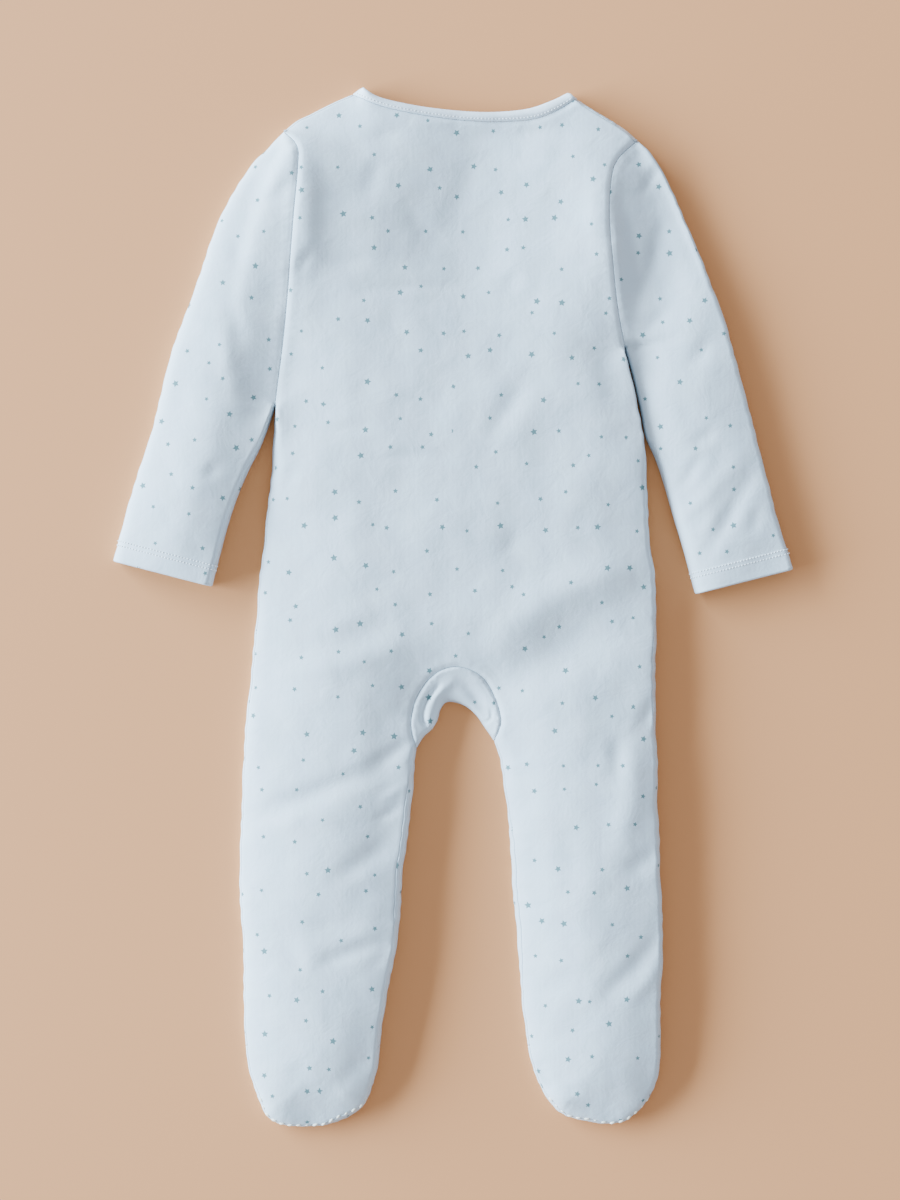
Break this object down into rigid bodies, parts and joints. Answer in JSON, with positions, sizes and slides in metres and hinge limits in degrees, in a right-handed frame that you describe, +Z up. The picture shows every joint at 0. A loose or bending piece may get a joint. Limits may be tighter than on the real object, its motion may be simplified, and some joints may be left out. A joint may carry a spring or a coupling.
{
  "type": "footed baby sleepsuit",
  "caption": "Footed baby sleepsuit laid face down: hollow body, long sleeves with turned hems, bound neck, crotch gusset, closed feet and a lapped press-fastened front",
  "frame": {"origin": "centre of the bounding box's bottom face, on the surface the sleepsuit lies on", "axes": "+Y towards the neck, +X towards the wearer's right, +Z up out of the back; the sleepsuit lies face down"},
  "size_m": [0.4072, 0.6221, 0.0189],
  "materials": {
    "printed_jersey": "white cotton interlock jersey with a small teal star print",
    "rib_binding": "plain white folded jersey binding",
    "popper": "white moulded press fastener cap"
  },
  "bodies": {
    "root": {"back": "printed_jersey", "front_left": "printed_jersey", "front_right": "printed_jersey", "foot_top_left": "printed_jersey", "foot_top_right": "printed_jersey", "sleeve_left": "printed_jersey", "sleeve_right": "printed_jersey", "gusset": "printed_jersey", "neck_binding": "rib_binding", "popper_1": "popper", "popper_2": "popper", "popper_3": "popper", "popper_4": "popper", "popper_5": "popper", "popper_6": "popper", "popper_7": "popper"}
  },
  "joints": []
}
